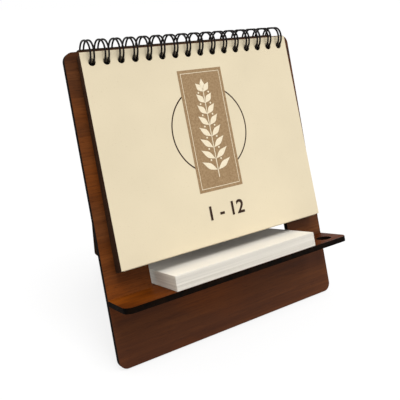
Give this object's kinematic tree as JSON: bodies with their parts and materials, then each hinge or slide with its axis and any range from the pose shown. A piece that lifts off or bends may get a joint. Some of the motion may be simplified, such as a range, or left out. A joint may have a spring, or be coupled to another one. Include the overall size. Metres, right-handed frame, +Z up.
{
  "type": "desk calendar",
  "caption": "Leaning wooden desk calendar with wire-bound leaves, a hanging back board, and a shelf of loose notes that plugs through the board as its rear foot.",
  "frame": {"origin": "on the table, under the middle of the whole outline", "axes": "+Z up, -Y the front that is read, +X to the reader's right"},
  "size_m": [0.153, 0.1194, 0.1663],
  "materials": {
    "walnut_board": "satin",
    "brown_board": "matte",
    "black_wire": "satin",
    "note_paper": "matte",
    "leaf_card": "matte"
  },
  "bodies": {
    "board": {"front_board": "walnut_board", "binding_wire": "black_wire"},
    "note_shelf": {"note_shelf": "walnut_board"},
    "notes": {"note_block": "note_paper"},
    "back_board": {"back_board": "brown_board"},
    "cover": {"front_cover": "leaf_card"},
    "leaf_01": {"month_leaf_01": "leaf_card"},
    "leaf_02": {"month_leaf_02": "leaf_card"},
    "leaf_03": {"month_leaf_03": "leaf_card"},
    "leaf_04": {"month_leaf_04": "leaf_card"},
    "leaf_05": {"month_leaf_05": "leaf_card"},
    "leaf_06": {"month_leaf_06": "leaf_card"},
    "leaf_07": {"month_leaf_07": "leaf_card"},
    "leaf_08": {"month_leaf_08": "leaf_card"},
    "leaf_09": {"month_leaf_09": "leaf_card"},
    "leaf_10": {"month_leaf_10": "leaf_card"},
    "leaf_11": {"month_leaf_11": "leaf_card"},
    "leaf_12": {"month_leaf_12": "leaf_card"}
  },
  "joints": [
    {"name": "first_leaf_turn", "type": "hinge", "parent": "board", "child": "leaf_01", "pos_m": [0, 0.00366, 0.15866], "axis": [-1, 0, 0], "range_deg": [0, 75]},
    {"name": "cover_turn", "type": "hinge", "parent": "leaf_01", "child": "cover", "pos_m": [0, 0.00366, 0.15866], "axis": [-1, 0, 0], "range_deg": [0, 60]},
    {"name": "leaf_02_turn", "type": "hinge", "parent": "board", "child": "leaf_02", "pos_m": [0, 0.00366, 0.15866], "axis": [-1, 0, 0], "range_deg": [0, 75]},
    {"name": "leaf_03_turn", "type": "hinge", "parent": "board", "child": "leaf_03", "pos_m": [0, 0.00366, 0.15866], "axis": [-1, 0, 0], "range_deg": [0, 75]},
    {"name": "leaf_04_turn", "type": "hinge", "parent": "board", "child": "leaf_04", "pos_m": [0, 0.00366, 0.15866], "axis": [-1, 0, 0], "range_deg": [0, 75]},
    {"name": "leaf_05_turn", "type": "hinge", "parent": "board", "child": "leaf_05", "pos_m": [0, 0.00366, 0.15866], "axis": [-1, 0, 0], "range_deg": [0, 75]},
    {"name": "leaf_06_turn", "type": "hinge", "parent": "board", "child": "leaf_06", "pos_m": [0, 0.00366, 0.15866], "axis": [-1, 0, 0], "range_deg": [0, 75]},
    {"name": "leaf_07_turn", "type": "hinge", "parent": "board", "child": "leaf_07", "pos_m": [0, 0.00366, 0.15866], "axis": [-1, 0, 0], "range_deg": [0, 75]},
    {"name": "leaf_08_turn", "type": "hinge", "parent": "board", "child": "leaf_08", "pos_m": [0, 0.00366, 0.15866], "axis": [-1, 0, 0], "range_deg": [0, 75]},
    {"name": "leaf_09_turn", "type": "hinge", "parent": "board", "child": "leaf_09", "pos_m": [0, 0.00366, 0.15866], "axis": [-1, 0, 0], "range_deg": [0, 75]},
    {"name": "leaf_10_turn", "type": "hinge", "parent": "board", "child": "leaf_10", "pos_m": [0, 0.00366, 0.15866], "axis": [-1, 0, 0], "range_deg": [0, 75]},
    {"name": "leaf_11_turn", "type": "hinge", "parent": "board", "child": "leaf_11", "pos_m": [0, 0.00366, 0.15866], "axis": [-1, 0, 0], "range_deg": [0, 75]},
    {"name": "leaf_12_turn", "type": "hinge", "parent": "board", "child": "leaf_12", "pos_m": [0, 0.00366, 0.15866], "axis": [-1, 0, 0], "range_deg": [0, 75]},
    {"name": "back_board_swing", "type": "hinge", "parent": "board", "child": "back_board", "pos_m": [0, 0.00366, 0.15866], "axis": [1, 0, 0], "range_deg": [-3, 30]},
    {"name": "shelf_slide", "type": "slide", "parent": "board", "child": "note_shelf", "axis": [0, -0.9455, 0.3256], "range_m": [0, 0.09]},
    {"name": "notes_slide", "type": "slide", "parent": "note_shelf", "child": "notes", "axis": [0, -0.9455, 0.3256], "range_m": [0, 0.07]}
  ],
  "couplings": [
    {"joint": "leaf_02_turn", "follows": "first_leaf_turn", "ratio": 0.922},
    {"joint": "leaf_03_turn", "follows": "first_leaf_turn", "ratio": 0.844},
    {"joint": "leaf_04_turn", "follows": "first_leaf_turn", "ratio": 0.766},
    {"joint": "leaf_05_turn", "follows": "first_leaf_turn", "ratio": 0.688},
    {"joint": "leaf_06_turn", "follows": "first_leaf_turn", "ratio": 0.61},
    {"joint": "leaf_07_turn", "follows": "first_leaf_turn", "ratio": 0.532},
    {"joint": "leaf_08_turn", "follows": "first_leaf_turn", "ratio": 0.454},
    {"joint": "leaf_09_turn", "follows": "first_leaf_turn", "ratio": 0.376},
    {"joint": "leaf_10_turn", "follows": "first_leaf_turn", "ratio": 0.298},
    {"joint": "leaf_11_turn", "follows": "first_leaf_turn", "ratio": 0.22},
    {"joint": "leaf_12_turn", "follows": "first_leaf_turn", "ratio": 0.142}
  ]
}
